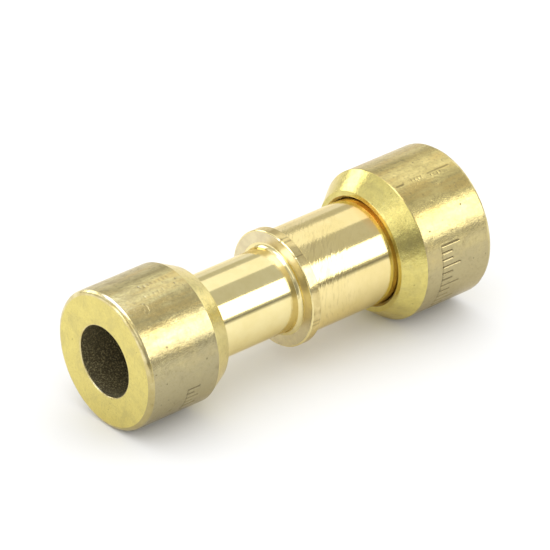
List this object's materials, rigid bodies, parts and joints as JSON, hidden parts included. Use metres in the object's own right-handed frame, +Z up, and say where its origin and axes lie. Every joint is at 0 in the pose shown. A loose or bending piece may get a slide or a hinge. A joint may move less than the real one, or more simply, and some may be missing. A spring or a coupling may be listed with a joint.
{
  "type": "reducing tube coupling with lock rings",
  "caption": "Turned brass reducing coupling that joins a small tube to a larger one, with a chamfered lock ring fitted on each sleeve and a collar in the middle.",
  "frame": {"origin": "centre of the coupling's bounding box, on its axis", "axes": "+X along the common axis from the small tube's end to the large tube's end, +Z up"},
  "size_m": [0.0384, 0.014, 0.014],
  "materials": {
    "body_brass": "bright turned brass",
    "ring_brass": "satin brass, lightly tarnished"
  },
  "bodies": {
    "joint_body": {"joint_body": "body_brass"},
    "small_ring": {"small_lock_ring": "ring_brass"},
    "large_ring": {"large_lock_ring": "ring_brass"}
  },
  "joints": [
    {"name": "small_ring_slide", "type": "slide", "parent": "joint_body", "child": "small_ring", "axis": [1, 0, 0], "range_m": [-0.006, 0.0008]},
    {"name": "large_ring_slide", "type": "slide", "parent": "joint_body", "child": "large_ring", "axis": [-1, 0, 0], "range_m": [-0.006, 0.0008]}
  ]
}
